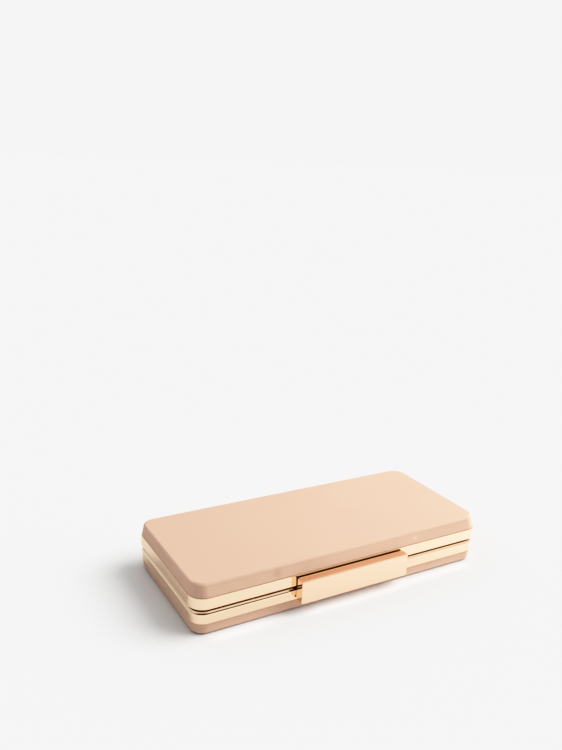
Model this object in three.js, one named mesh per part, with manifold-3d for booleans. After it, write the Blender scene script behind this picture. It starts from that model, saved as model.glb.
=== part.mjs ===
// A hard box clutch: two leather-covered trays, each rimmed by a polished metal band, hinged at the back
// and closed by a wide bar clasp on the front.
// Millimetres, +Z up, +X along the length, front towards -Y, origin at the centre of the resting face.
import * as THREE from "three";
import { mergeVertices } from "three/addons/utils/BufferGeometryUtils.js";
import Module from "manifold-3d";

// Driving dimensions
const LENGTH = 200;
const DEPTH = 89;
const HEIGHT = 30.5;
const CORNER_RADIUS = 9.3;
const RUNNING_GAP = 0.3;

// Heights of the two bands; the space between them is the seam
const LOWER_BAND_BOTTOM = 7.2;
const LOWER_BAND_TOP = 15.1;
const UPPER_BAND_BOTTOM = 16;
const UPPER_BAND_TOP = 22.8;

// Metal frames: how far each face stands in from the plan outline, and the sheet's thickness
const BAND_THICKNESS = 1.2;
const FLANGE_THICKNESS = 1.6;
const LOWER_BAND_INSET = 0.5;
const LOWER_BAND_TAPER = 0.1;
const LOWER_EDGE_RADIUS = 2.4;
const UPPER_BAND_TAPER = 0.2;
const UPPER_EDGE_RADIUS = 0.6;
const BAND_RIM_CHAMFER = 0.3;
const UPPER_FLANGE_REACH = 3.4;
const LIP_INSET = 3.8;
const LIP_THICKNESS = 1;
const LIP_HEIGHT = 3;

// Leather trays
const LEATHER_SETBACK = 0.3;
const WALL = 2.4;
const UPPER_DRAFT = 0.4;
const LONG_SIDE_LEAN = 1.1;
const LOWER_DRAFT = 0.5;
const TOP_FILLET = 1;
const BOTTOM_FILLET = 2.5;
const TRAY_INNER_FILLET = 1;
const LID_INNER_FILLET = 2;

// Back hinges: a middle knuckle on the lid between two on the base, twice
const HINGE_CENTRES = { left: -55, right: 55 };
const BARREL_RADIUS = 1.6;
const BORE_RADIUS = 0.95;
const PIN_RADIUS = 0.65;
const LID_KNUCKLE_WIDTH = 8;
const BASE_KNUCKLE_WIDTH = 5;
const KNUCKLE_GAP = 0.4;
const LEAF_HEIGHT = 4.2;
const LEAF_THICKNESS = 0.9;
const SOLDER_DEPTH = 0.4;
const HINGE_Y = DEPTH / 2 + BARREL_RADIUS + RUNNING_GAP;
const HINGE_Z = (LOWER_BAND_TOP + UPPER_BAND_BOTTOM) / 2;

// Clasp bar and the pin near its lower back edge
const CLASP_WIDTH = 74;
const CLASP_BOTTOM = 7.5;
const CLASP_TOP = 21.5;
const CLASP_STANDOFF = 6.2;
const CLASP_WALL = 1.2;
const CLASP_FLOOR = 1;
const CLASP_EDGE = 0.4;
const CLASP_UPPER_GAP = 0.8;
const CLASP_STEP_Z = 15.2;
const CLASP_HEEL_RELIEF = 1.2;
const CLASP_PIVOT_Y = -DEPTH / 2 - 2;
const CLASP_PIVOT_Z = 10.4;
const LUG_CENTRE = 16;
const LUG_WIDTH = 4;
const LUG_RADIUS = 1.5;
const LUG_NECK_DROP = 0.3;
const RIB_WIDTH = 2;
const RIB_RADIUS = 1.7;

// Fineness of the round shapes
const CORNER_STEPS = 8;
const FILLET_STEPS = 4;
const ROUND_SIDES = 16;

const leather = new THREE.MeshStandardMaterial({ name: "leather", color: "#e6c3a8", roughness: 0.55 });
const gold = new THREE.MeshStandardMaterial({ name: "gold", color: "#f0d3a6", roughness: 0.12, metalness: 1 });

const wasm = await Module();
wasm.setup();

// A closed geometry as a solid that can be joined and cut.
function solidOf(geometry) {
  const bare = geometry.clone();
  bare.deleteAttribute("normal");
  bare.deleteAttribute("uv");
  const merged = mergeVertices(bare, 1e-4);
  return new wasm.Manifold(
    new wasm.Mesh({
      numProp: 3,
      vertProperties: merged.attributes.position.array,
      triVerts: new Uint32Array(merged.index.array),
    }),
  );
}

function geometryOf(solid) {
  const mesh = solid.getMesh();
  const geometry = new THREE.BufferGeometry();
  geometry.setAttribute("position", new THREE.BufferAttribute(mesh.vertProperties, 3));
  geometry.setIndex(new THREE.BufferAttribute(mesh.triVerts, 1));
  geometry.computeVertexNormals();
  return geometry;
}

// Joins solids to a geometry, then cuts others away.
function combine(geometry, added, removed) {
  let solid = solidOf(geometry);
  for (const piece of added) solid = solid.add(solidOf(piece));
  for (const piece of removed) solid = solid.subtract(solidOf(piece));
  return geometryOf(solid);
}

// The clutch's plan outline, drawn inset from the bands at one height, counter-clockwise from above. The
// long sides can stand in by a lean of their own.
function planLoop([inset, z, lean = 0]) {
  const radius = CORNER_RADIUS - inset;
  const cornerX = LENGTH / 2 - CORNER_RADIUS;
  const cornerY = DEPTH / 2 - CORNER_RADIUS - lean;
  const points = [];
  for (let corner = 0; corner < 4; corner++) {
    const signX = corner === 0 || corner === 3 ? 1 : -1;
    const signY = corner < 2 ? 1 : -1;
    for (let step = 0; step <= CORNER_STEPS; step++) {
      const angle = (corner + step / CORNER_STEPS) * (Math.PI / 2);
      points.push([
        signX * cornerX + radius * Math.cos(angle),
        signY * cornerY + radius * Math.sin(angle),
        z,
      ]);
    }
  }
  return points;
}

// A quarter round in a section: from one end of the arc to the other about its centre, angles in degrees
// from the inward direction.
function arc([inset, z], radius, fromAngle, toAngle) {
  return Array.from({ length: FILLET_STEPS + 1 }, (_, step) => {
    const angle = THREE.MathUtils.degToRad(
      THREE.MathUtils.lerp(fromAngle, toAngle, step / FILLET_STEPS),
    );
    return [inset + radius * Math.cos(angle), z + radius * Math.sin(angle)];
  });
}

// Sweeps a section of (inset, z, lean) points round the plan outline. The section runs up the outside and
// down the inside. A ring joins its last point to its first; a tray closes both ends with flat floors.
function sweep(section, isRing) {
  const loops = section.map(planLoop);
  const count = loops[0].length;
  const positions = loops.flat(2);
  const indices = [];
  const joins = isRing ? loops.length : loops.length - 1;
  for (let row = 0; row < joins; row++) {
    const below = row * count;
    const above = ((row + 1) % loops.length) * count;
    for (let k = 0; k < count; k++) {
      const next = (k + 1) % count;
      indices.push(below + k, below + next, above + next);
      indices.push(below + k, above + next, above + k);
    }
  }
  if (!isRing) {
    const last = (loops.length - 1) * count;
    const firstCentre = positions.length / 3;
    positions.push(0, 0, section[0][1], 0, 0, section.at(-1)[1]);
    for (let k = 0; k < count; k++) {
      const next = (k + 1) % count;
      indices.push(firstCentre, next, k);
      indices.push(firstCentre + 1, last + k, last + next);
    }
  }
  const geometry = new THREE.BufferGeometry();
  geometry.setAttribute("position", new THREE.Float32BufferAttribute(positions, 3));
  geometry.setIndex(indices);
  geometry.computeVertexNormals();
  return geometry;
}

// A round bar along X between two ends.
function rod(radius, fromX, toX, y, z) {
  const geometry = new THREE.CylinderGeometry(radius, radius, toX - fromX, ROUND_SIDES);
  return geometry.rotateZ(Math.PI / 2).translate((fromX + toX) / 2, y, z);
}

function block(x, y, z) {
  const geometry = new THREE.BoxGeometry(x[1] - x[0], y[1] - y[0], z[1] - z[0]);
  return geometry.translate((x[0] + x[1]) / 2, (y[0] + y[1]) / 2, (z[0] + z[1]) / 2);
}

// A (y, z) outline pushed along X, centred on the clutch.
function crosswise(outline, width) {
  const shape = new THREE.Shape(outline.map(([y, z]) => new THREE.Vector2(y, z)));
  const geometry = new THREE.ExtrudeGeometry(shape, { depth: width, bevelEnabled: false });
  const turn = new THREE.Matrix4().makeBasis(
    new THREE.Vector3(0, 1, 0),
    new THREE.Vector3(0, 0, 1),
    new THREE.Vector3(1, 0, 0),
  );
  return geometry.applyMatrix4(turn).translate(-width / 2, 0, 0);
}

// Trays

function lowerShell() {
  const face = LOWER_BAND_INSET + LOWER_BAND_TAPER + LEATHER_SETBACK;
  const foot = face + LOWER_DRAFT;
  const inner = face + WALL;
  const tongue = LOWER_BAND_INSET + LOWER_BAND_TAPER + BAND_THICKNESS + RUNNING_GAP;
  const wallTop = LOWER_BAND_BOTTOM - RUNNING_GAP;
  const tongueTop = LOWER_BAND_TOP - FLANGE_THICKNESS - RUNNING_GAP;
  return sweep(
    [
      ...arc([foot + BOTTOM_FILLET, BOTTOM_FILLET], BOTTOM_FILLET, 270, 180),
      [face, wallTop],
      [tongue, wallTop],
      [tongue, tongueTop],
      [inner, tongueTop],
      ...arc([inner + TRAY_INNER_FILLET, WALL + TRAY_INNER_FILLET], TRAY_INNER_FILLET, 180, 270),
    ],
    false,
  );
}

function upperShell() {
  const face = UPPER_BAND_TAPER + LEATHER_SETBACK;
  const crown = face + UPPER_DRAFT;
  const inner = face + WALL;
  const tongue = UPPER_BAND_TAPER + BAND_THICKNESS + RUNNING_GAP;
  const wallBottom = UPPER_BAND_TOP + RUNNING_GAP;
  const tongueBottom = UPPER_BAND_BOTTOM + FLANGE_THICKNESS + RUNNING_GAP;
  const innerRound = [inner + LID_INNER_FILLET, HEIGHT - WALL - LID_INNER_FILLET];
  const topEdge = arc([crown + TOP_FILLET, HEIGHT - TOP_FILLET], TOP_FILLET, 180, 90);
  return sweep(
    [
      ...arc(innerRound, LID_INNER_FILLET, 90, 180),
      [inner, tongueBottom],
      [tongue, tongueBottom],
      [tongue, wallBottom],
      [face, wallBottom],
      ...topEdge.map((place) => [...place, LONG_SIDE_LEAN]),
    ],
    false,
  );
}

// Frames

// One hinge knuckle with the leaf that is soldered to its band's back face.
function knuckle(fromX, toX, faceY, isLid) {
  const leafZ = isLid ? [HINGE_Z, HINGE_Z + LEAF_HEIGHT] : [HINGE_Z - LEAF_HEIGHT, HINGE_Z];
  return [
    rod(BARREL_RADIUS, fromX, toX, HINGE_Y, HINGE_Z),
    block([fromX, toX], [faceY - SOLDER_DEPTH, DEPTH / 2 + LEAF_THICKNESS], leafZ),
  ];
}

function hingeBores() {
  const reach = LID_KNUCKLE_WIDTH / 2 + KNUCKLE_GAP + BASE_KNUCKLE_WIDTH + KNUCKLE_GAP;
  return Object.values(HINGE_CENTRES).map((centre) =>
    rod(BORE_RADIUS, centre - reach, centre + reach, HINGE_Y, HINGE_Z),
  );
}

// A lug on the lower band that carries the clasp's pin, on one side of the middle.
function claspLug(side) {
  const fromX = side * LUG_CENTRE - LUG_WIDTH / 2;
  const toX = fromX + LUG_WIDTH;
  const bandY = -DEPTH / 2 + LOWER_BAND_INSET + LOWER_BAND_TAPER + SOLDER_DEPTH;
  return [
    rod(LUG_RADIUS, fromX, toX, CLASP_PIVOT_Y, CLASP_PIVOT_Z),
    block(
      [fromX, toX],
      [CLASP_PIVOT_Y, bandY],
      [CLASP_PIVOT_Z - LUG_NECK_DROP, CLASP_PIVOT_Z + LUG_RADIUS],
    ),
  ];
}

function claspBore() {
  const reach = LUG_CENTRE + LUG_WIDTH / 2 + KNUCKLE_GAP + RIB_WIDTH + KNUCKLE_GAP;
  return rod(BORE_RADIUS, -reach, reach, CLASP_PIVOT_Y, CLASP_PIVOT_Z);
}

function lowerFrame() {
  const foot = LOWER_BAND_INSET + LOWER_BAND_TAPER;
  const inside = foot + BAND_THICKNESS;
  const flangeBottom = LOWER_BAND_TOP - FLANGE_THICKNESS;
  const roundCentre = [LOWER_BAND_INSET + LOWER_EDGE_RADIUS, LOWER_BAND_TOP - LOWER_EDGE_RADIUS];
  const ring = sweep(
    [
      [foot + BAND_RIM_CHAMFER, LOWER_BAND_BOTTOM],
      [foot, LOWER_BAND_BOTTOM + BAND_RIM_CHAMFER],
      ...arc(roundCentre, LOWER_EDGE_RADIUS, 180, 90),
      [LIP_INSET, LOWER_BAND_TOP],
      [LIP_INSET, LOWER_BAND_TOP + LIP_HEIGHT],
      [LIP_INSET + LIP_THICKNESS, LOWER_BAND_TOP + LIP_HEIGHT],
      [LIP_INSET + LIP_THICKNESS, flangeBottom],
      [inside, flangeBottom],
      [inside, LOWER_BAND_BOTTOM],
    ],
    true,
  );
  const innerEdge = LID_KNUCKLE_WIDTH / 2 + KNUCKLE_GAP;
  const outerEdge = innerEdge + BASE_KNUCKLE_WIDTH;
  const backFace = DEPTH / 2 - LOWER_BAND_INSET;
  const knuckles = Object.values(HINGE_CENTRES).flatMap((centre) => [
    ...knuckle(centre - outerEdge, centre - innerEdge, backFace, false),
    ...knuckle(centre + innerEdge, centre + outerEdge, backFace, false),
  ]);
  const lugs = [...claspLug(-1), ...claspLug(1)];
  return combine(ring, [...knuckles, ...lugs], [...hingeBores(), claspBore()]);
}

function upperFrame() {
  const inside = UPPER_BAND_TAPER + BAND_THICKNESS;
  const flangeTop = UPPER_BAND_BOTTOM + FLANGE_THICKNESS;
  const roundCentre = [UPPER_EDGE_RADIUS, UPPER_BAND_BOTTOM + UPPER_EDGE_RADIUS];
  const ring = sweep(
    [
      ...arc(roundCentre, UPPER_EDGE_RADIUS, 270, 180),
      [UPPER_BAND_TAPER, UPPER_BAND_TOP - BAND_RIM_CHAMFER],
      [UPPER_BAND_TAPER + BAND_RIM_CHAMFER, UPPER_BAND_TOP],
      [inside, UPPER_BAND_TOP],
      [inside, flangeTop],
      [UPPER_FLANGE_REACH, flangeTop],
      [UPPER_FLANGE_REACH, UPPER_BAND_BOTTOM],
    ],
    true,
  );
  const half = LID_KNUCKLE_WIDTH / 2;
  const knuckles = Object.values(HINGE_CENTRES).flatMap((centre) =>
    knuckle(centre - half, centre + half, DEPTH / 2, true),
  );
  return combine(ring, knuckles, hingeBores());
}

// Clasp

// A rib inside the bar that hangs it on the pin, on one side of the middle.
function claspRib(side) {
  const nearX = LUG_CENTRE + LUG_WIDTH / 2 + KNUCKLE_GAP;
  const [fromX, toX] = [side * nearX, side * (nearX + RIB_WIDTH)].sort((a, b) => a - b);
  const frontY = -DEPTH / 2 - CLASP_STANDOFF + CLASP_WALL - SOLDER_DEPTH;
  const floorZ = CLASP_BOTTOM + CLASP_FLOOR - SOLDER_DEPTH;
  return [
    rod(RIB_RADIUS, fromX, toX, CLASP_PIVOT_Y, CLASP_PIVOT_Z),
    block([fromX, toX], [frontY, CLASP_PIVOT_Y], [floorZ, CLASP_PIVOT_Z + RIB_RADIUS]),
  ];
}

// The bar is a box open at the back. Its upper back edge stands clear of the lid's band, its lower back
// edge lies close to the base's band, and its heel is cut back so that it can tip forward on the pin.
function claspBar() {
  const front = -DEPTH / 2 - CLASP_STANDOFF;
  const upperBack = -DEPTH / 2 - CLASP_UPPER_GAP;
  const lowerBack = -DEPTH / 2 + LOWER_BAND_INSET - RUNNING_GAP;
  const outside = crosswise(
    [
      [front + CLASP_EDGE, CLASP_BOTTOM],
      [lowerBack - CLASP_HEEL_RELIEF, CLASP_BOTTOM],
      [lowerBack, CLASP_PIVOT_Z],
      [lowerBack, CLASP_STEP_Z],
      [upperBack, CLASP_STEP_Z],
      [upperBack, CLASP_TOP],
      [front + CLASP_EDGE, CLASP_TOP],
      [front, CLASP_TOP - CLASP_EDGE],
      [front, CLASP_BOTTOM + CLASP_EDGE],
    ],
    CLASP_WIDTH,
  );
  const half = CLASP_WIDTH / 2 - CLASP_WALL;
  const hollow = block(
    [-half, half],
    [front + CLASP_WALL, lowerBack + RUNNING_GAP],
    [CLASP_BOTTOM + CLASP_FLOOR, CLASP_TOP - CLASP_WALL],
  );
  const ribs = [...claspRib(-1), ...claspRib(1)];
  return geometryOf(
    solidOf(outside)
      .subtract(solidOf(hollow))
      .add(ribs.map(solidOf).reduce((joined, rib) => joined.add(rib)))
      .subtract(solidOf(claspBore())),
  );
}

// Assembly

function namedMesh(name, geometry, material) {
  const mesh = new THREE.Mesh(geometry, material);
  mesh.name = name;
  return mesh;
}

// A group that turns about an axis along X through a point; its meshes keep their places in the clutch.
function turningGroup(y, z, meshes) {
  const group = new THREE.Group();
  group.position.set(0, y, z);
  for (const mesh of meshes) mesh.position.set(0, -y, -z);
  group.add(...meshes);
  return group;
}

const base = new THREE.Group();
base.add(namedMesh("lower_shell", lowerShell(), leather));
base.add(namedMesh("lower_frame", lowerFrame(), gold));
const hingePinReach = LID_KNUCKLE_WIDTH / 2 + KNUCKLE_GAP + BASE_KNUCKLE_WIDTH;
for (const [side, centre] of Object.entries(HINGE_CENTRES)) {
  const pin = rod(PIN_RADIUS, centre - hingePinReach, centre + hingePinReach, HINGE_Y, HINGE_Z);
  base.add(namedMesh(`hinge_pin_${side}`, pin, gold));
}
const claspPinReach = LUG_CENTRE + LUG_WIDTH / 2 + KNUCKLE_GAP + RIB_WIDTH;
const claspPin = rod(PIN_RADIUS, -claspPinReach, claspPinReach, CLASP_PIVOT_Y, CLASP_PIVOT_Z);
base.add(namedMesh("clasp_pin", claspPin, gold));

const lid = turningGroup(HINGE_Y, HINGE_Z, [
  namedMesh("upper_shell", upperShell(), leather),
  namedMesh("upper_frame", upperFrame(), gold),
]);

const clasp = turningGroup(CLASP_PIVOT_Y, CLASP_PIVOT_Z, [namedMesh("clasp_bar", claspBar(), gold)]);

const clutch = new THREE.Group();
clutch.add(base, lid, clasp);

export default clutch;
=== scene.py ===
# %% [markdown]
# A box clutch, dressed for its picture
#
# The solid model of this hard box clutch already holds every size: two shallow trays covered in leather,
# each rimmed with a metal band, hinged at the back and closed by a wide bar clasp on the front. This lesson
# loads that model as a fixed frame, makes each piece again with finer curves in the same place, and gives
# it the finish of the real material.

# %% Load the solid model
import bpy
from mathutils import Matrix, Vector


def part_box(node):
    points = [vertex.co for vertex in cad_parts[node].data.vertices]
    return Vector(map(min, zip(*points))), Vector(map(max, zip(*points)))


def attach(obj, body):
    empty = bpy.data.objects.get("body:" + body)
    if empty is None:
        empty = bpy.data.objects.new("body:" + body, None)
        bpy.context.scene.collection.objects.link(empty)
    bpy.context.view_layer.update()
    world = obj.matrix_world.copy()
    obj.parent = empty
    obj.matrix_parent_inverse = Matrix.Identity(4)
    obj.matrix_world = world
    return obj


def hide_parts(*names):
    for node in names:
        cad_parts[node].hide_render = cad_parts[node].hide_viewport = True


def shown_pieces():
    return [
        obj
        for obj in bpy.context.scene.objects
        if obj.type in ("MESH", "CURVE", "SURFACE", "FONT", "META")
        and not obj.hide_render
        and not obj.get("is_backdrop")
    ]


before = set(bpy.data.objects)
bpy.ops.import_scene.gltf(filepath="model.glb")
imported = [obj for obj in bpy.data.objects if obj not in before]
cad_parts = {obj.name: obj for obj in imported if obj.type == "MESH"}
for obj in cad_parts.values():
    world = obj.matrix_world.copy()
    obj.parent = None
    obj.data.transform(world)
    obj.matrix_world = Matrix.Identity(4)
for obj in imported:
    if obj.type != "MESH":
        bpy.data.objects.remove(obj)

# %% Tools, and the solid model's own box
import math

import bmesh
import bpy
from mathutils import Matrix, Vector

MM = 0.001
scene = bpy.context.scene
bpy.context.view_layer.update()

# %% [markdown]
# The camera comes first, so that every later piece is judged from the right place. It could be moved by
# hand until the picture fits, but a turn, a tilt, a distance and the pixel where one known point falls say
# the same thing exactly. The clutch is seen from the front left and above, close enough for the near
# corner to look larger than the far one. The frame leans by about two degrees.

# %% Camera
FRAME_PIXELS = (562, 750)
VIEW_AZIMUTH = math.radians(-30.04)
VIEW_ELEVATION = math.radians(15.99)
VIEW_ROLL = math.radians(2.39)
VIEW_DISTANCE = 484.3 * MM
FOCAL_PIXELS = 762.8
AIM_POINT = Vector((0, 0, 20 * MM))
AIM_PIXEL = (311.74, 532.56)
SENSOR = 36.0
NEAREST_SEEN = 10 * MM


def camera_place():
    """The camera's matrix: AIM_POINT falls on AIM_PIXEL at VIEW_DISTANCE in front of the lens."""
    flat = math.cos(VIEW_ELEVATION)
    back = Vector((math.sin(VIEW_AZIMUTH) * flat, -math.cos(VIEW_AZIMUTH) * flat, math.sin(VIEW_ELEVATION)))
    level = Vector((math.cos(VIEW_AZIMUTH), math.sin(VIEW_AZIMUTH), 0))
    right = Matrix.Rotation(VIEW_ROLL, 3, back) @ level
    up = back.cross(right)
    pixel = VIEW_DISTANCE / FOCAL_PIXELS
    across = (AIM_PIXEL[0] - FRAME_PIXELS[0] / 2) * pixel
    down = (AIM_PIXEL[1] - FRAME_PIXELS[1] / 2) * pixel
    place = AIM_POINT + back * VIEW_DISTANCE - right * across + up * down
    turned = Matrix((right, up, back)).transposed().to_4x4()
    return Matrix.Translation(place) @ turned


camera = bpy.data.objects.new("camera", bpy.data.cameras.new("camera"))
camera.data.sensor_width = SENSOR
camera.data.lens = FOCAL_PIXELS * SENSOR / max(FRAME_PIXELS)
camera.data.clip_start = NEAREST_SEEN
camera.matrix_world = camera_place()
scene.collection.objects.link(camera)
scene.camera = camera
print("camera at mm:", [round(value / MM) for value in camera.location], "lens", round(camera.data.lens, 1))

# %% [markdown]
# Three small helpers serve every material. Colours are written as the hex values that a colour picker shows,
# and shaders work with linear light, so the first turns one into the other. The second adds a node of any
# kind, sets it, and gives each input a value or a link. The third starts a new material. A Mix node has
# sockets of the same name for numbers and for colours, so its colour sockets are found by their places.

# %% Colours and nodes
FIRST_COLOUR = 6
SECOND_COLOUR = 7
MIXED_COLOUR = 2


def linear(hex_colour):
    """An sRGB hex value such as 'F4F1EC' as linear red, green, blue and alpha."""
    channels = [int(hex_colour[k:k + 2], 16) / 255 for k in (0, 2, 4)]
    return [c / 12.92 if c <= 0.04045 else ((c + 0.055) / 1.055) ** 2.4 for c in channels] + [1.0]


def add_node(tree, kind, inputs, **settings):
    """Adds a node with its settings; each input takes a value, or a link from another node's output."""
    added = tree.nodes.new(kind)
    for name, value in settings.items():
        setattr(added, name, value)
    for name, value in inputs.items():
        if isinstance(value, bpy.types.NodeSocket):
            tree.links.new(value, added.inputs[name])
        else:
            added.inputs[name].default_value = value
    return added


def new_material(name):
    """An empty material with its Principled shader and the node tree that feeds it."""
    material = bpy.data.materials.new(name)
    material.use_nodes = True
    return material, material.node_tree, material.node_tree.nodes["Principled BSDF"]


print("middle grey in linear light:", round(linear("808080")[0], 3))

# %% [markdown]
# The floor is a wide sheet of matt white paper. A small sheet would show its edge in polished metal, so it
# reaches far past the view on every side. Paper scatters light evenly, which is a rough surface without
# gloss. The camera's own rays see plain, even paper. The rays that light the clutch or come from a mirror
# see paper with painted light and shade: it is painted paler towards the front right and darker towards the
# back left, so the metal mirrors a sheet that is bright at the front right and dull at the back left.

# %% Matt white paper
PAPER_WHITE = "D9D9D9"
PAPER_ROUGHNESS = 0.9
PAINTED_LIGHT_SIDE = Vector((0.8, -0.6, 0))
PAINTED_SHADE_PAPER = "C8C8C8"
PAINTED_LIGHT_PAPER = "F2F2F2"
PAINTED_SHADE_AT = -120 * MM
PAINTED_LIGHT_AT = 150 * MM


def matt_paper():
    """Matt paper without gloss: even and pale to the camera, with painted light and shade for all other rays.
    """
    material, tree, shader = new_material("matt_white_paper")
    shader.inputs["Roughness"].default_value = PAPER_ROUGHNESS
    shader.inputs["Specular IOR Level"].default_value = 0.0
    place = add_node(tree, "ShaderNodeTexCoord", {}).outputs["Object"]
    along = add_node(
        tree, "ShaderNodeVectorMath", {0: place, 1: PAINTED_LIGHT_SIDE}, operation="DOT_PRODUCT"
    ).outputs["Value"]
    # Painted light and shade: for all but the camera's rays the paper is paler front right, darker back left.
    painted_share = add_node(
        tree, "ShaderNodeMapRange", {"Value": along, "From Min": PAINTED_SHADE_AT, "From Max": PAINTED_LIGHT_AT}
    ).outputs["Result"]
    painted_light_and_shade = add_node(
        tree,
        "ShaderNodeMix",
        {"Factor": painted_share, FIRST_COLOUR: linear(PAINTED_SHADE_PAPER), SECOND_COLOUR: linear(PAINTED_LIGHT_PAPER)},
        data_type="RGBA",
    ).outputs[MIXED_COLOUR]
    seen = add_node(tree, "ShaderNodeLightPath", {}).outputs["Is Camera Ray"]
    shown = add_node(
        tree,
        "ShaderNodeMix",
        {"Factor": seen, FIRST_COLOUR: painted_light_and_shade, SECOND_COLOUR: linear(PAPER_WHITE)},
        data_type="RGBA",
    ).outputs[MIXED_COLOUR]
    tree.links.new(shown, shader.inputs["Base Color"])
    return material


matt_white = matt_paper()
print("paper:", matt_white.name)

# %% Floor
FLOOR_REACH = 30.0


def paper_floor():
    """One wide square at the height that the clutch rests on."""
    sheet = bmesh.new()
    bmesh.ops.create_grid(sheet, x_segments=1, y_segments=1, size=FLOOR_REACH)
    mesh = bpy.data.meshes.new("floor")
    sheet.to_mesh(mesh)
    sheet.free()
    mesh.materials.append(matt_white)
    floor = bpy.data.objects.new("floor", mesh)
    scene.collection.objects.link(floor)
    floor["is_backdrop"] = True
    return floor


floor = paper_floor()
print("floor is", 2 * FLOOR_REACH, "m wide:", floor.name)

# %% [markdown]
# The clutch stands in a white room. A room that is white all round would leave polished metal with nothing
# to mirror, so this one grows brighter to the right and towards its ceiling, has a bright window at the front
# right, and is dark on the photographer's side. The dark side shades the near left corner, and the metal
# shows it as a thin dark line along its rounded edges. Walls could be built for this, but the world lights
# everything from far away and needs none. The camera itself sees plain paper white there, so that the
# background stays pale from every side.

# %% Room
ROOM_WHITE = "FFFFFF"
PAPER_LIGHT = 1.0
ROOM_LEFT = 0.31
ROOM_RIGHT = 0.5
ROOM_CEILING = 0.66
ROOM_DARK = 0.05
DARK_SIDE = Vector((-0.4, -0.917, -0.2))
DARK_FROM = 0.4
DARK_TO = 0.62
ROOM_WINDOW = 0.9
WINDOW_SIDE = Vector((0.862, -0.497, 0.1))
WINDOW_FROM = 0.86
WINDOW_TO = 0.92


def white_room():
    """A world that brightens to the right and upwards, with a window at the right and a dark front."""
    world = bpy.data.worlds.new("white_room")
    world.use_nodes = True
    tree = world.node_tree
    towards = add_node(tree, "ShaderNodeTexCoord", {}).outputs["Generated"]
    parts = add_node(tree, "ShaderNodeSeparateXYZ", {"Vector": towards}).outputs
    from_left = {"Value": parts["X"], "From Min": -1.0, "To Min": ROOM_LEFT, "To Max": ROOM_RIGHT}
    sideways = add_node(tree, "ShaderNodeMapRange", from_left).outputs["Result"]
    lit = add_node(
        tree, "ShaderNodeMath", {0: parts["Z"], 1: ROOM_CEILING, 2: sideways}, operation="MULTIPLY_ADD"
    ).outputs["Value"]
    in_front = add_node(
        tree, "ShaderNodeVectorMath", {0: towards, 1: DARK_SIDE}, operation="DOT_PRODUCT"
    ).outputs["Value"]
    dark = add_node(
        tree,
        "ShaderNodeMapRange",
        {"Value": in_front, "From Min": DARK_FROM, "From Max": DARK_TO},
        interpolation_type="SMOOTHSTEP",
    ).outputs["Result"]
    shaded = add_node(tree, "ShaderNodeMix", {"Factor": dark, "A": lit, "B": ROOM_DARK}).outputs["Result"]
    at_right = add_node(
        tree, "ShaderNodeVectorMath", {0: towards, 1: WINDOW_SIDE}, operation="DOT_PRODUCT"
    ).outputs["Value"]
    bright = add_node(
        tree,
        "ShaderNodeMapRange",
        {"Value": at_right, "From Min": WINDOW_FROM, "From Max": WINDOW_TO},
        interpolation_type="SMOOTHSTEP",
    ).outputs["Result"]
    room = add_node(
        tree, "ShaderNodeMix", {"Factor": bright, "A": shaded, "B": ROOM_WINDOW}
    ).outputs["Result"]
    seen = add_node(tree, "ShaderNodeLightPath", {}).outputs["Is Camera Ray"]
    shown = add_node(tree, "ShaderNodeMix", {"Factor": seen, "A": room, "B": PAPER_LIGHT}).outputs["Result"]
    background = tree.nodes["Background"]
    tree.links.new(shown, background.inputs["Strength"])
    background.inputs["Color"].default_value = linear(ROOM_WHITE)
    return world


scene.world = white_room()
print("room:", scene.world.name)

# %% [markdown]
# A camera doesn't record light evenly: its tone curve adds contrast in the dark and middle tones and rolls
# off gently before white. That is why the paper fades to an even white, and why dull light makes the leather
# and the gold look deeper and warmer. Without it the colours would need to be faked in each material, so the
# curve is set once, where Blender turns light into the picture. Each row gives an amount of light and the
# share of white that it becomes.

# %% Tone curve
TONES = {
    0.03: 0.016,
    0.08: 0.057,
    0.15: 0.13,
    0.25: 0.246,
    0.35: 0.368,
    0.5: 0.545,
    0.7: 0.737,
    0.95: 0.895,
    1.0: 0.913,
    1.13: 0.965,
    1.3: 0.99,
}
BRIGHTEST = 1.8
ALL_CHANNELS = 3


def set_tone_curve(view):
    """Gives the picture its tone curve, the same for red, green and blue."""
    view.view_transform = "Standard"
    view.use_curve_mapping = True
    mapping = view.curve_mapping
    mapping.clip_max_x = BRIGHTEST
    curve = mapping.curves[ALL_CHANNELS]
    curve.points[-1].location = (BRIGHTEST, 1.0)
    for light, shown in TONES.items():
        curve.points.new(light, shown)
    mapping.update()


set_tone_curve(scene.view_settings)
print("tone curve with", len(TONES), "points")

# %% [markdown]
# The main light is a large softbox at the right, because a small lamp would give hard shadows. It stands
# close, so it lights the right end of the clutch more than the left, but it would also leave a bright pool
# on the paper. So the paper has its own lamp from the same side, a sun with a wide disc, and light linking
# tells each lamp what it lights, once all the pieces are there. The metal doesn't mirror the softbox,
# because its image would leave a white line in the seam.

# %% Lamps
KEY_SIDE = math.radians(77)
KEY_UP = math.radians(32)
KEY_DISTANCE = 0.85
KEY_SIZE = 0.6
KEY_POWER = 9.5
PAPER_LAMP_SIDE = math.radians(70)
PAPER_LAMP_UP = math.radians(47)
PAPER_LAMP_WIDTH = math.radians(42)
PAPER_LAMP_STRENGTH = 2.95


def from_side(side, up):
    """A direction given as an angle from the front towards the right, and a height angle."""
    return Vector((math.sin(side) * math.cos(up), -math.cos(side) * math.cos(up), math.sin(up)))


def add_lamp(name, kind, towards, distance):
    """A lamp that looks at the clutch from a direction."""
    lamp = bpy.data.objects.new(name, bpy.data.lights.new(name, kind))
    lamp.location = towards * distance
    lamp.rotation_euler = towards.to_track_quat("Z", "Y").to_euler()
    scene.collection.objects.link(lamp)
    return lamp


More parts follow.
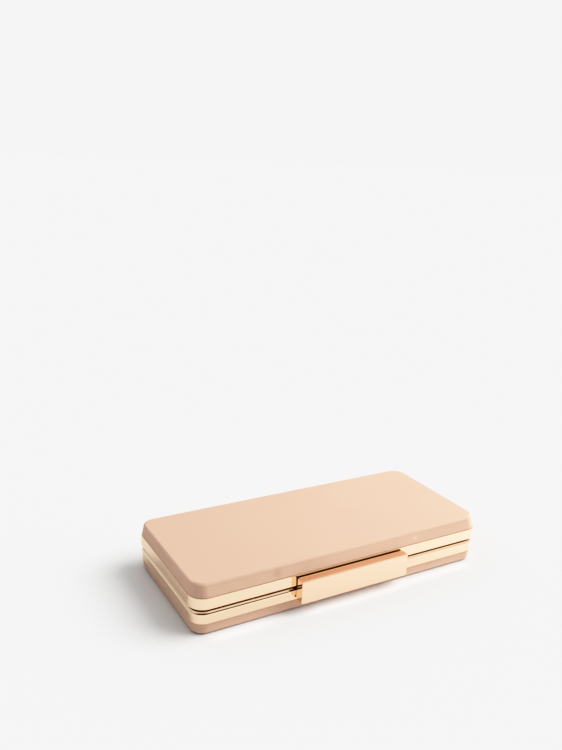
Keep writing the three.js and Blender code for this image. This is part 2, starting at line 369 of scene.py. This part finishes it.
softbox = add_lamp("softbox", "AREA", from_side(KEY_SIDE, KEY_UP), KEY_DISTANCE)
softbox.data.size = KEY_SIZE
softbox.data.energy = KEY_POWER
softbox.visible_glossy = False
paper_lamp = add_lamp("paper_lamp", "SUN", from_side(PAPER_LAMP_SIDE, PAPER_LAMP_UP), KEY_DISTANCE)
paper_lamp.data.energy = PAPER_LAMP_STRENGTH
paper_lamp.data.angle = PAPER_LAMP_WIDTH
print("softbox at", [round(value, 2) for value in softbox.location])

# %% [markdown]
# Both trays and both bands follow one plan outline, a long rectangle with round corners. Each of them could
# be a box with a Bevel modifier, but their sections differ along the height. Sweeping a section round the
# outline gives every fillet and step its true size, and lets the round corners be as fine as polished metal
# needs. Shapes are drawn in millimetres, and the outline's length and depth come from the frame.

# %% Plan outline
CORNER_RADIUS = 9.3
CORNER_STEPS = 24


def in_mm(node):
    """A solid's lowest and highest corner in millimetres."""
    low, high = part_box(node)
    return low / MM, high / MM


HALF_LENGTH = in_mm("upper_frame")[1].x
HALF_DEPTH = -in_mm("upper_frame")[0].y


def plan_loop(inset, z, lean=0.0):
    """Points round the plan outline, moved in from the edge, and the long sides by their lean as well."""
    radius = CORNER_RADIUS - inset
    points = []
    for corner, (side_x, side_y) in enumerate(((1, 1), (-1, 1), (-1, -1), (1, -1))):
        for step in range(CORNER_STEPS + 1):
            angle = (corner + step / CORNER_STEPS) * math.pi / 2
            x = side_x * (HALF_LENGTH - CORNER_RADIUS) + radius * math.cos(angle)
            y = side_y * (HALF_DEPTH - CORNER_RADIUS - lean) + radius * math.sin(angle)
            points.append(Vector((x, y, z)))
    return points


print("plan outline in mm:", round(2 * HALF_LENGTH, 1), "by", round(2 * HALF_DEPTH, 1))

# %% [markdown]
# A section is a short list of points, with round stretches made by a formula. Each point gives its inset
# from the outline and its height, and it may add a lean, which moves only the long sides in. Sweeping the
# section gives quads all the way round. A band joins its last loop to its first, and a tray closes both
# ends with a flat floor. Smooth shading would bend the reflections on flat faces near a round edge, so a
# Weighted Normal modifier lets the large faces set the normals there.

# %% Sweep a section round the outline
ROUND_STEPS = 10
SHARP_ANGLE = math.radians(35)


def arc(inset, z, radius, from_angle, to_angle):
    """A round stretch of a section about its centre; angles in degrees from the inward direction."""
    points = []
    for step in range(ROUND_STEPS + 1):
        angle = math.radians(from_angle + (to_angle - from_angle) * step / ROUND_STEPS)
        points.append((inset + radius * math.cos(angle), z + radius * math.sin(angle)))
    return points


def made(name, shape):
    """A shape drawn in millimetres as a smooth-shaded object in metres."""
    bmesh.ops.recalc_face_normals(shape, faces=shape.faces)
    mesh = bpy.data.meshes.new(name)
    shape.to_mesh(mesh)
    shape.free()
    mesh.transform(Matrix.Scale(MM, 4))
    mesh.shade_smooth()
    mesh.set_sharp_from_angle(angle=SHARP_ANGLE)
    piece = bpy.data.objects.new(name, mesh)
    scene.collection.objects.link(piece)
    return piece


def swept(name, section, is_ring, shaded_dull_rows=()):
    """Sweeps a section round the plan outline; the faces of the shaded dull rows take a second material."""
    shape = bmesh.new()
    loops = [[shape.verts.new(point) for point in plan_loop(*place)] for place in section]
    pairs = list(zip(loops, loops[1:]))
    if is_ring:
        pairs.append((loops[-1], loops[0]))
    else:
        shape.faces.new(loops[0])
        shape.faces.new(loops[-1])
    for row, (first, second) in enumerate(pairs):
        for k in range(len(first)):
            face = shape.faces.new((first[k - 1], first[k], second[k], second[k - 1]))
            face.material_index = int(row in shaded_dull_rows)
    return made(name, shape)


print("each loop round the outline has", len(plan_loop(0, 0)), "points")


# %% Finish a piece
def settle(piece, materials, body, slot, *nodes):
    """Finishes a piece: its materials, level flats, the body it rides on and what it stands for. Its slot is
    not used.
    """
    for material in materials:
        piece.data.materials.append(material)
    piece.modifiers.new("level_flats", "WEIGHTED_NORMAL").keep_sharp = True
    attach(piece, body)
    if nodes:
        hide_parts(*nodes)
    print(piece.name, "rides on", body, "with", len(piece.data.polygons), "faces")


# %% [markdown]
# The trays are covered in thin, smooth calf leather, dyed a pale nude and finished matt with a clear film.
# A picture of leather could be laid over them, but a pattern worked out by nodes has no seams and stays
# fine from close by. The eye sees an even colour first, then a very fine grain, slightly deeper patches a
# few centimetres wide, and edges that handling has made a little paler. The lid's front has a pale scuff,
# and a darker spot of painted shade where a shallow dent would catch less light; the dent itself is not
# modelled. Both are spots of colour that fade out from their centres. The IOR is that of most clear films,
# and the roughness starts from a half, as matt leather has.

# %% Worn scuff, and a dent's painted shade
# The dent spot is painted shade: a darker colour where a shallow dent would take less light.
DENT_PAINTED_SHADE = "C6A18A"
DENT_SHADE_PLACE = Vector((-48.9, -43.3, 26.6)) * MM
DENT_SHADE_REACH = 4.6 * MM
SCUFF_COLOUR = "E2BEA6"
SCUFF_PLACE = Vector((48.4, -43.3, 26.1)) * MM
SCUFF_REACH = 2.6 * MM


def spot(tree, place, centre, reach):
    """A share that is one at a spot's centre and fades to nothing at its reach."""
    away = add_node(
        tree, "ShaderNodeVectorMath", {0: place, 1: centre}, operation="DISTANCE"
    ).outputs["Value"]
    fade = {"Value": away, "From Max": reach, "To Min": 1.0, "To Max": 0.0}
    return add_node(tree, "ShaderNodeMapRange", fade, interpolation_type="SMOOTHSTEP").outputs["Result"]


print("dent and scuff reach in mm:", round(DENT_SHADE_REACH / MM, 1), "and", round(SCUFF_REACH / MM, 1))

# %% Smooth calf leather
NUDE = "D7B199"
NUDE_DEEP = "D3AC94"
NUDE_RUBBED = "DAB59E"
GRAIN_WIDTH = 0.7 * MM
GRAIN_DEPTH = 0.03 * MM
GRAIN_STRENGTH = 0.25
PATCH_WIDTH = 45 * MM
PATCH_DETAIL = 3.0
CALF_IOR = 1.48
CALF_SMOOTHEST = 0.54
CALF_ROUGHEST = 0.66
CALF_SHEEN = 0.05


def calf_leather():
    """Dyed calf: matt, with a fine grain. The grain is drawn about twice its real width so that it shows."""
    material, tree, shader = new_material("smooth_calf_leather")
    place = add_node(tree, "ShaderNodeTexCoord", {}).outputs["Object"]
    patches = add_node(
        tree, "ShaderNodeTexNoise", {"Vector": place, "Scale": 1 / PATCH_WIDTH, "Detail": PATCH_DETAIL}
    ).outputs["Fac"]
    rub = add_node(tree, "ShaderNodeAttribute", {}, attribute_name="rub").outputs["Fac"]
    tints = [
        (patches, NUDE_DEEP),
        (rub, NUDE_RUBBED),
        # The dent's spot is painted shade; the scuff is wear.
        (spot(tree, place, DENT_SHADE_PLACE, DENT_SHADE_REACH), DENT_PAINTED_SHADE),
        (spot(tree, place, SCUFF_PLACE, SCUFF_REACH), SCUFF_COLOUR),
    ]
    colour = linear(NUDE)
    for share, tint in tints:
        colour = add_node(
            tree,
            "ShaderNodeMix",
            {"Factor": share, FIRST_COLOUR: colour, SECOND_COLOUR: linear(tint)},
            data_type="RGBA",
        ).outputs[MIXED_COLOUR]
    tree.links.new(colour, shader.inputs["Base Color"])
    gloss = add_node(
        tree, "ShaderNodeMapRange", {"Value": patches, "To Min": CALF_SMOOTHEST, "To Max": CALF_ROUGHEST}
    ).outputs["Result"]
    tree.links.new(gloss, shader.inputs["Roughness"])
    grain = add_node(
        tree, "ShaderNodeTexVoronoi", {"Vector": place, "Scale": 1 / GRAIN_WIDTH}
    ).outputs["Distance"]
    raised = add_node(
        tree, "ShaderNodeBump", {"Height": grain, "Strength": GRAIN_STRENGTH, "Distance": GRAIN_DEPTH}
    ).outputs["Normal"]
    tree.links.new(raised, shader.inputs["Normal"])
    shader.inputs["IOR"].default_value = CALF_IOR
    shader.inputs["Sheen Weight"].default_value = CALF_SHEEN
    return material


calf = calf_leather()
print("leather:", calf.name)

# %% [markdown]
# Each tray is a shallow box of board, with a thinner tongue that slips behind its band. The leather is drawn
# tight over it, so the sides are straight and only the edges are soft. At the bands its edge is turned
# under, which leaves a fine dark line, finer on the lid than below. A box hollowed by a Boolean would need
# each edge rounded afterwards, so a tray is one swept section with its wall, tongue and rounds. The lid's
# long sides lean in and turn over in a larger round than its ends. Handling pales the edges, so each point
# stores how much it is rubbed, and the leather reads that.

# %% Heights and walls
HEIGHT = in_mm("upper_shell")[1].z
UPPER_BAND_TOP = in_mm("upper_frame")[1].z
UPPER_BAND_BOTTOM = 16.0
LOWER_BAND_TOP = 14.6
LOWER_BAND_BOTTOM = in_mm("lower_frame")[0].z
FLANGE = 1.6
WALL = 2.4
FIT_GAP = 0.3
print("seam between the bands in mm:", round(UPPER_BAND_BOTTOM - LOWER_BAND_TOP, 2))

# %% Rubbed edges
RUB_SHARE = 0.6


def rub_edges(tray):
    """Stores how much each point is rubbed: most where the surface turns from side to top or bottom."""
    rub = tray.data.attributes.new("rub", "FLOAT", "POINT")
    for vertex, value in zip(tray.data.vertices, rub.data):
        tilt = vertex.normal.z ** 2
        value.value = RUB_SHARE * 4 * tilt * (1 - tilt)
    print(tray.name, "has", len(rub.data), "points with their rub")
    return tray


# %% Lid tray
LID_FACE = 0.5
LID_CROWN = 0.8
LID_TONGUE = 1.7
LID_INNER_FILLET = 2.0
CLOSE_GAP = 0.05
CLOSE_EDGE = 0.15
TOP_FILLET = 1.5
LONG_TOP_FILLET = 2.4
LONG_SIDE_LEAN = 1.6


def lid_edge():
    """The lid's top edge: a small round at the ends, and a larger one along the leaning long sides."""
    edge = []
    for inset, z in arc(LID_CROWN + LONG_TOP_FILLET, HEIGHT - LONG_TOP_FILLET, LONG_TOP_FILLET, 180, 90):
        rise = min(max(z - HEIGHT + TOP_FILLET, 0.0), TOP_FILLET)
        end_inset = LID_CROWN + TOP_FILLET - math.sqrt(TOP_FILLET ** 2 - rise ** 2)
        edge.append((end_inset, z, LONG_SIDE_LEAN + inset - end_inset))
    return edge


def lid_tray():
    """The lid's leather, from its ceiling down inside, round the tongue and up outside to its top."""
    inner = LID_FACE + WALL
    side_bottom = UPPER_BAND_TOP + CLOSE_GAP
    tongue_bottom = UPPER_BAND_BOTTOM + FLANGE + FIT_GAP
    section = [
        *arc(inner + LID_INNER_FILLET, HEIGHT - WALL - LID_INNER_FILLET, LID_INNER_FILLET, 90, 180),
        (inner, tongue_bottom),
        (LID_TONGUE, tongue_bottom),
        (LID_TONGUE, side_bottom),
        *arc(LID_FACE + CLOSE_EDGE, side_bottom + CLOSE_EDGE, CLOSE_EDGE, 270, 180),
        *lid_edge(),
    ]
    return swept("upper_leather", section, False)


settle(rub_edges(lid_tray()), [calf], "lid", "leather", "upper_shell")

# %% Lower tray
TRAY_FACE = 0.9
TRAY_FOOT = 1.4
TRAY_TONGUE = 2.1
TRAY_INNER_FILLET = 1.0
TURNED_EDGE = 0.35
BOTTOM_FILLET = 2.5


def lower_tray():
    """The lower leather, from its underside up outside, round the tongue and down inside to its floor."""
    inner = TRAY_FACE + WALL
    side_top = LOWER_BAND_BOTTOM - FIT_GAP
    tongue_top = LOWER_BAND_TOP - FLANGE - FIT_GAP
    section = [
        *arc(TRAY_FOOT + BOTTOM_FILLET, BOTTOM_FILLET, BOTTOM_FILLET, 270, 180),
        *arc(TRAY_FACE + TURNED_EDGE, side_top - TURNED_EDGE, TURNED_EDGE, 180, 90),
        (TRAY_TONGUE, side_top),
        (TRAY_TONGUE, tongue_top),
        (inner, tongue_top),
        *arc(inner + TRAY_INNER_FILLET, WALL + TRAY_INNER_FILLET, TRAY_INNER_FILLET, 180, 270),
    ]
    return swept("lower_leather", section, False)


settle(rub_edges(lower_tray()), [calf], "base", "leather", "lower_shell")

# %% [markdown]
# The metal is brass, polished and plated in pale gold. Plate is a mirror with a warm tint: nearly all the red
# light comes back, less of the green and half of the blue. Bright and dark stripes could be painted on, but
# they would stay put when the clutch turns, so the shader mirrors the room instead. The eye reads plate
# from what it mirrors, so its own texture stays faint: slow changes in gloss from wiping, and long,
# hair-fine marks. The clasp's plate is a little rosier. Inside the seam and behind the clasp no polishing
# wheel reaches, so the plate there is rough. Its dark brown is partly that unpolished plate and partly
# painted shade for the seam and the space behind the clasp.

# %% Pale gold plate
PALE_GOLD = "FCDBBB"
ROSY_GOLD = "FCD6B8"
PLATE_ROUGHNESS = 0.05
# The dull plate's dark brown is partly painted shade, for the seam and behind the clasp.
SHADED_DULL_GOLD = "8E6C46"
DULL_ROUGHNESS = 0.42
WIPE_WIDTH = 18 * MM
WIPE_ROUGHNESS = 0.025
HAIR_LENGTH = 14 * MM
HAIR_WIDTH = 0.18 * MM
HAIR_ROUGHNESS = 0.02


def gold_plate(name, colour, roughness):
    """Plated brass: gloss that wiping has changed a little, and hairs drawn wider than real ones to show."""
    material, tree, shader = new_material(name)
    shader.inputs["Base Color"].default_value = linear(colour)
    shader.inputs["Metallic"].default_value = 1.0
    place = add_node(tree, "ShaderNodeTexCoord", {}).outputs["Object"]
    wiped = add_node(tree, "ShaderNodeTexNoise", {"Vector": place, "Scale": 1 / WIPE_WIDTH}).outputs["Fac"]
    stretch = (1 / HAIR_LENGTH, 1 / HAIR_LENGTH, 1 / HAIR_WIDTH)
    along = add_node(
        tree, "ShaderNodeVectorMath", {0: place, 1: stretch}, operation="MULTIPLY"
    ).outputs["Vector"]
    hairs = add_node(tree, "ShaderNodeTexNoise", {"Vector": along, "Scale": 1.0}).outputs["Fac"]
    gloss = add_node(
        tree,
        "ShaderNodeMapRange",
        {"Value": wiped, "To Min": roughness - WIPE_ROUGHNESS, "To Max": roughness + WIPE_ROUGHNESS},
    ).outputs["Result"]
    worn = add_node(
        tree, "ShaderNodeMath", {0: hairs, 1: HAIR_ROUGHNESS, 2: gloss}, operation="MULTIPLY_ADD"
    ).outputs["Value"]
    tree.links.new(worn, shader.inputs["Roughness"])
    return material


plate = gold_plate("pale_gold_plate", PALE_GOLD, PLATE_ROUGHNESS)
clasp_plate = gold_plate("rosy_gold_plate", ROSY_GOLD, PLATE_ROUGHNESS)
shaded_dull_plate = gold_plate("unpolished_shaded_gold_plate", SHADED_DULL_GOLD, DULL_ROUGHNESS)
print("metal:", plate.name, clasp_plate.name, "and", shaded_dull_plate.name)

# %% [markdown]
# Each band is an L in section: an upright face, and a flange that lies flat along the seam. The lower one
# also carries a lip that guides the lid down. A strip with a Solidify modifier would have the thickness but
# not the lip or the different rounds of its edges, so both bands are swept as closed rings. The lower
# band's top edge is a large round that rolls into the seam. The last steps of it take the dull plate with its
# painted shade, and so does all that lies behind them as far as the lip.

# %% Lower band
RIM_ROUND = 0.12
LOWER_BAND_FACE = 0.5
LOWER_BAND_FOOT = 0.6
LOWER_BAND_INSIDE = 1.8
LOWER_EDGE_ROUND = 2.4
SHADED_DULL_STEPS = 5
LIP_OUT = 3.8
LIP_IN = 4.8
LIP_TOP = in_mm("lower_frame")[1].z
LIP_ROUND = 0.3


def lower_band():
    """The lower ring, from its foot up the face, over the lip and back down behind the face."""
    outer = [
        *arc(LOWER_BAND_FOOT + RIM_ROUND, LOWER_BAND_BOTTOM + RIM_ROUND, RIM_ROUND, 270, 180),
        *arc(
            LOWER_BAND_FACE + LOWER_EDGE_ROUND, LOWER_BAND_TOP - LOWER_EDGE_ROUND, LOWER_EDGE_ROUND, 180, 90
        ),
    ]
    inner = [
        (LIP_OUT, LOWER_BAND_TOP),
        *arc(LIP_OUT + LIP_ROUND, LIP_TOP - LIP_ROUND, LIP_ROUND, 180, 90),
        *arc(LIP_IN - LIP_ROUND, LIP_TOP - LIP_ROUND, LIP_ROUND, 90, 0),
        (LIP_IN, LOWER_BAND_TOP - FLANGE),
        (LOWER_BAND_INSIDE, LOWER_BAND_TOP - FLANGE),
        (LOWER_BAND_INSIDE, LOWER_BAND_BOTTOM),
    ]
    # These rows take the dull plate, whose dark colour is partly painted shade in the seam.
    shaded_dull_rows = range(len(outer) - SHADED_DULL_STEPS, len(outer) + 1)
    return swept("lower_band", outer + inner, True, shaded_dull_rows)


settle(lower_band(), [plate, shaded_dull_plate], "base", "gold_frame", "lower_frame")

# %% Upper band
UPPER_BAND_RIM = 0.2
UPPER_BAND_INSIDE = 1.4
UPPER_BAND_REACH = 3.4
UPPER_EDGE_ROUND = 0.6


def upper_band():
    """The upper ring, from the seam up the face and back down behind it to the flange."""
    outer = [
        *arc(UPPER_EDGE_ROUND, UPPER_BAND_BOTTOM + UPPER_EDGE_ROUND, UPPER_EDGE_ROUND, 270, 180),
        *arc(UPPER_BAND_RIM + RIM_ROUND, UPPER_BAND_TOP - RIM_ROUND, RIM_ROUND, 180, 90),
    ]
    inner = [
        (UPPER_BAND_INSIDE, UPPER_BAND_TOP),
        (UPPER_BAND_INSIDE, UPPER_BAND_BOTTOM + FLANGE),
        (UPPER_BAND_REACH, UPPER_BAND_BOTTOM + FLANGE),
        (UPPER_BAND_REACH, UPPER_BAND_BOTTOM),
    ]
    return swept("upper_band", outer + inner, True)


settle(upper_band(), [plate], "lid", "gold_frame", "upper_frame")

# %% [markdown]
# The clasp, its lugs and the hinges are small blocks and round bars, soldered and drilled. Blender's own
# cube and cylinder would have to be moved and scaled into place. A block or bar that is drawn between two
# values on each axis lands where it belongs, and Boolean modifiers then join and cut the pieces.

# %% Blocks and bars
ROD_SIDES = 40
END_STEPS = 5


def prism(name, outline, from_x, to_x):
    """A (y, z) outline pushed along X."""
    shape = bmesh.new()
    ends = [[shape.verts.new((x, y, z)) for y, z in outline] for x in (from_x, to_x)]
    for end in ends:
        shape.faces.new(end)
    for k in range(len(outline)):
        shape.faces.new((ends[0][k - 1], ends[0][k], ends[1][k], ends[1][k - 1]))
    return made(name, shape)


def slab(name, x, y, z):
    """A block between two values on each axis."""
    return prism(name, [(y[0], z[0]), (y[1], z[0]), (y[1], z[1]), (y[0], z[1])], *x)


def quarter(radius):
    """Steps round a quarter circle, from its flat end to its side."""
    turns = [math.pi / 2 * k / END_STEPS for k in range(END_STEPS + 1)]
    return [(radius * math.cos(t), radius * math.sin(t)) for t in turns]


def rod(name, radius, from_x, to_x, y, z, end_round=0.0):
    """A round bar along X, with its ends rounded over if asked."""
    profile = [(from_x, radius), (to_x, radius)]
    if end_round:
        left = [(from_x + end_round - dx, radius - end_round + dr) for dx, dr in quarter(end_round)]
        right = [(to_x - end_round + dx, radius - end_round + dr) for dx, dr in quarter(end_round)]
        profile = left + right[::-1]
    turns = [2 * math.pi * k / ROD_SIDES for k in range(ROD_SIDES)]
    shape = bmesh.new()
    loops = []
    for x, around in profile:
        points = [(x, y + around * math.cos(t), z + around * math.sin(t)) for t in turns]
        loops.append([shape.verts.new(point) for point in points])
    shape.faces.new(loops[0])
    shape.faces.new(loops[-1])
    for first, second in zip(loops, loops[1:]):
        for k in range(ROD_SIDES):
            shape.faces.new((first[k - 1], first[k], second[k], second[k - 1]))
    return made(name, shape)


print("round bars have", ROD_SIDES, "sides")


# %% Join and cut
def carved(body, added=(), removed=()):
    """Joins and cuts with Boolean modifiers, keeps the result and clears the tools away."""
    steps = [(tool, "UNION") for tool in added] + [(tool, "DIFFERENCE") for tool in removed]
    for tool, operation in steps:
        cut = body.modifiers.new(operation, "BOOLEAN")
        cut.operation = operation
        cut.object = tool
    bpy.context.view_layer.update()
    result = bpy.data.meshes.new_from_object(body.evaluated_get(bpy.context.evaluated_depsgraph_get()))
    body.modifiers.clear()
    body.data = result
    for tool in (*added, *removed):
        bpy.data.objects.remove(tool)
    result.shade_smooth()
    result.set_sharp_from_angle(angle=SHARP_ANGLE)
    return body


# %% [markdown]
# The clasp is a wide box of plated brass, open at the back, that tips on a pin near its lower edge. Its
# faces are flat and its edges only just broken. It could be folded from a sheet, but a solid block cut by a
# smaller one has the same walls and sharp inner corners at once. A fine Bevel then breaks the polished
# edges, so that each one catches a thin line of light.

# %% Clasp bar
clasp_low, clasp_high = in_mm("clasp_bar")
pivot_low, pivot_high = in_mm("clasp_pin")
PIVOT_Y = (pivot_low.y + pivot_high.y) / 2
PIVOT_Z = (pivot_low.z + pivot_high.z) / 2
CLASP_WALL = 1.2
CLASP_FLOOR = 1.0
CLASP_STEP_Z = 15.2
CLASP_UPPER_GAP = 0.8
CLASP_UPPER_BACK = -HALF_DEPTH - CLASP_UPPER_GAP
CLASP_HEEL_RELIEF = 1.2


def clasp_bar():
    """The bar's outline pushed along its length, with the hollow cut in from the back."""
    front = clasp_low.y
    back = clasp_high.y
    outline = [
        (front, clasp_low.z),
        (back - CLASP_HEEL_RELIEF, clasp_low.z),
        (back, PIVOT_Z),
        (back, CLASP_STEP_Z),
        (CLASP_UPPER_BACK, CLASP_STEP_Z),
        (CLASP_UPPER_BACK, clasp_high.z),
        (front, clasp_high.z),
    ]
    bar = prism("clasp_bar_plate", outline, clasp_low.x, clasp_high.x)
    hollow = slab(
        "hollow",
        (clasp_low.x + CLASP_WALL, clasp_high.x - CLASP_WALL),
        (front + CLASP_WALL, back + CLASP_WALL),
        (clasp_low.z + CLASP_FLOOR, clasp_high.z - CLASP_WALL),
    )
    return carved(bar, removed=[hollow])


bar = clasp_bar()
print("clasp bar has", len(bar.data.polygons), "faces before its edges are broken")

# %% Polish the clasp and break its edges
POLISHED = 0
SHADED_DULL = 1
LOOKS_BACK = 0.5
CLASP_MIDDLE = (clasp_low.z + clasp_high.z) / 2 * MM
CLASP_EDGE = 0.5 * MM
EDGE_STEPS = 4


def dull_and_shade_inside(piece):
    """Gives the second material, dull plate with painted shade, to faces that look back at the case and all
    in the hollow.
    """
    wall_middle = (clasp_low.y + CLASP_WALL / 2) * MM
    for face in piece.data.polygons:
        outwards = Vector((face.center.x, 0, face.center.z - CLASP_MIDDLE))
        faces_back = face.normal.y > LOOKS_BACK
        faces_inwards = face.normal.dot(outwards) < 0
        is_behind_front = face.center.y > wall_middle
        face.material_index = SHADED_DULL if faces_back or (faces_inwards and is_behind_front) else POLISHED


def break_edges(piece, width):
    """A fine rounded edge along every edge that has only polished faces beside it."""
    edges_of = {POLISHED: set(), SHADED_DULL: set()}
    for face in piece.data.polygons:
        edges_of[face.material_index].update(face.edge_keys)
    broken = edges_of[POLISHED] - edges_of[SHADED_DULL]
    weights = piece.data.attributes.new("bevel_weight_edge", "FLOAT", "EDGE")
    for edge, weight in zip(piece.data.edges, weights.data):
        weight.value = float(edge.key in broken)
    bevel = piece.modifiers.new("broken_edges", "BEVEL")
    bevel.width = width
    bevel.segments = EDGE_STEPS
    bevel.limit_method = "WEIGHT"
    bevel.harden_normals = True


dull_and_shade_inside(bar)
break_edges(bar, CLASP_EDGE)
settle(bar, [clasp_plate, shaded_dull_plate], "clasp", "gold_clasp", "clasp_bar")

# %% [markdown]
# Inside the bar, two ribs with an eye hang it on its pin, and two lugs soldered to the lower band carry the
# pin. They show only when the bar tips forward. An eye could be a bent strip, but a round boss joined to a
# block, with the hole cut through both, looks as a turned and filed part does.

# %% Clasp ribs, lugs and pin
PIN_RADIUS = (pivot_high.z - pivot_low.z) / 2
BORE_RADIUS = 0.95
DRILL_PAST = 1.0
SOLDER = 0.4
LUG_CENTRE = 16.0
LUG_WIDTH = 4.0
LUG_RADIUS = 1.5
LUG_DROP = 0.3
RIB_WIDTH = 2.0
RIB_RADIUS = 1.7
SMALL_GAP = 0.4
EYE_EDGE = 0.2


def eye(name, radius, x, y, z, block_y, block_z):
    """A round eye about an axis along X, joined to a block, with the pin's hole cut through."""
    boss = rod(name, radius, *x, y, z, EYE_EDGE)
    block = slab("block", x, block_y, block_z)
    hole = rod("hole", BORE_RADIUS, x[0] - DRILL_PAST, x[1] + DRILL_PAST, y, z)
    return carved(boss, [block], [hole])


def clasp_lug(side):
    """The eye that carries the pin, let a little into the lower band."""
    middle = LUG_CENTRE if side == "right" else -LUG_CENTRE
    x = (middle - LUG_WIDTH / 2, middle + LUG_WIDTH / 2)
    block_y = (PIVOT_Y, -HALF_DEPTH + LOWER_BAND_FOOT + SOLDER)
    block_z = (PIVOT_Z - LUG_DROP, PIVOT_Z + LUG_RADIUS)
    return eye(f"clasp_lug_{side}", LUG_RADIUS, x, PIVOT_Y, PIVOT_Z, block_y, block_z)


def clasp_rib(side):
    """The eye that hangs the bar on the pin, let a little into the bar's front and floor."""
    near = LUG_CENTRE + LUG_WIDTH / 2 + SMALL_GAP
    x = (near, near + RIB_WIDTH) if side == "right" else (-near - RIB_WIDTH, -near)
    block_y = (clasp_low.y + CLASP_WALL - SOLDER, PIVOT_Y)
    block_z = (clasp_low.z + CLASP_FLOOR - SOLDER, PIVOT_Z + RIB_RADIUS)
    return eye(f"clasp_rib_{side}", RIB_RADIUS, x, PIVOT_Y, PIVOT_Z, block_y, block_z)


def pin(name, node):
    """A plain pin with its ends rounded over, where the solid one is."""
    pin_low, pin_high = in_mm(node)
    middle = (pin_low + pin_high) / 2
    return rod(name, PIN_RADIUS, pin_low.x, pin_high.x, middle.y, middle.z, PIN_RADIUS / 2)


for side in ("left", "right"):
    settle(clasp_lug(side), [shaded_dull_plate], "base", "gold_frame")
    settle(clasp_rib(side), [shaded_dull_plate], "clasp", "gold_clasp")
settle(pin("clasp_axle", "clasp_pin"), [shaded_dull_plate], "base", "gold_pins", "clasp_pin")

# %% [markdown]
# The lid turns on two small hinges at the back. In each, a middle knuckle belongs to the lid and the two
# beside it to the base, and each knuckle is a barrel with a leaf that is soldered flat to its band. A real
# leaf is rolled round the pin, but here only the outside shows, so a barrel and a leaf are joined as one
# and bored for the pin, with soft ends.

# %% Hinges
LID_KNUCKLE = 8.0
BASE_KNUCKLE = 5.0
BARREL_RADIUS = 1.6
LEAF_HEIGHT = 4.2
LEAF_THICKNESS = 0.9


def knuckle(name, from_x, to_x, axis, leaf_inside, rises):
    """A barrel round the hinge axis with its leaf, which rises for the lid and hangs for the base."""
    leaf_end = axis.z + LEAF_HEIGHT if rises else axis.z - LEAF_HEIGHT
    leaf_z = (min(axis.z, leaf_end), max(axis.z, leaf_end))
    leaf_y = (leaf_inside - SOLDER, HALF_DEPTH + LEAF_THICKNESS)
    return eye(name, BARREL_RADIUS, (from_x, to_x), axis.y, axis.z, leaf_y, leaf_z)


for side in ("left", "right"):
    pin_low, pin_high = in_mm(f"hinge_pin_{side}")
    axis = (pin_low + pin_high) / 2
    half = LID_KNUCKLE / 2
    lid_knuckle = knuckle(f"lid_knuckle_{side}", axis.x - half, axis.x + half, axis, HALF_DEPTH, True)
    settle(lid_knuckle, [plate], "lid", "gold_frame")
    base_face = HALF_DEPTH - LOWER_BAND_FACE
    near = half + SMALL_GAP
    far = near + BASE_KNUCKLE
    for place, (from_x, to_x) in {"a": (-far, -near), "b": (near, far)}.items():
        name = f"base_knuckle_{side}_{place}"
        base_knuckle = knuckle(name, axis.x + from_x, axis.x + to_x, axis, base_face, False)
        settle(base_knuckle, [plate], "base", "gold_frame")
    hinge_pin = pin(f"hinge_axle_{side}", f"hinge_pin_{side}")
    settle(hinge_pin, [shaded_dull_plate], "base", "gold_pins", f"hinge_pin_{side}")

# %% [markdown]
# Polished metal throws some of the light that it gets on what is near it: the bands and the clasp on the
# paper below them, and the clasp on the lid's side above it. A renderer finds such light only slowly and
# with much noise, so three faint strip lamps do it instead. Two hang low in front of the lower band and
# look down at the paper, one along the straight front and one under the clasp. The third stands in front of
# the clasp and looks up at the lid's side. None of them is ever seen itself.

# %% Light thrown by the metal
STRIP_WIDTH = 4 * MM
LOW_STRIP_FROM = Vector((0, -0.2, 0.98))
FLOOR_STRIP_PLACE = Vector((0, -HALF_DEPTH - 3.5, 4)) * MM
FLOOR_STRIP_LENGTH = 2 * (HALF_LENGTH - CORNER_RADIUS) * MM
FLOOR_STRIP_POWER = 0.00145
CLASP_STRIP_PLACE = Vector((0, -HALF_DEPTH - 4.5, 4.8)) * MM
CLASP_STRIP_LENGTH = 64 * MM
CLASP_STRIP_POWER = 0.0006
LID_STRIP_FROM = Vector((0, -0.87, -0.5))
LID_STRIP_PLACE = Vector((15, -HALF_DEPTH - 16, 21)) * MM
LID_STRIP_LENGTH = 60 * MM
LID_STRIP_POWER = 0.0007


def strip_lamp(name, place, towards, length, power):
    """A faint strip lamp along X that only lights: neither the camera nor the metal sees it."""
    strip = add_lamp(name, "AREA", towards, 0)
    strip.location = place
    strip.data.shape = "RECTANGLE"
    strip.data.size = length
    strip.data.size_y = STRIP_WIDTH
    strip.data.energy = power
    strip.visible_camera = False
    strip.visible_glossy = False
    print(name, "is", round(length / MM), "mm long")


strip_lamp("floor_strip", FLOOR_STRIP_PLACE, LOW_STRIP_FROM, FLOOR_STRIP_LENGTH, FLOOR_STRIP_POWER)
strip_lamp("clasp_strip", CLASP_STRIP_PLACE, LOW_STRIP_FROM, CLASP_STRIP_LENGTH, CLASP_STRIP_POWER)
strip_lamp("lid_strip", LID_STRIP_PLACE, LID_STRIP_FROM, LID_STRIP_LENGTH, LID_STRIP_POWER)

# %% [markdown]
# Now that every piece exists, each lamp is told what it lights. A lamp with a receiver collection lights
# only what is in it, and one with a blocker collection is shaded only by what is in that. The softbox
# lights the clutch, and the paper lamp lights the paper and lets the clutch shade it. The strips have no
# such collections, so they light all that is near them.

# %% Link the lamps
clutch_pieces = bpy.data.collections.new("clutch_pieces")
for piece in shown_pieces():
    clutch_pieces.objects.link(piece)
paper = bpy.data.collections.new("paper")
paper.objects.link(floor)
softbox.light_linking.receiver_collection = clutch_pieces
softbox.light_linking.blocker_collection = clutch_pieces
paper_lamp.light_linking.receiver_collection = paper
paper_lamp.light_linking.blocker_collection = clutch_pieces
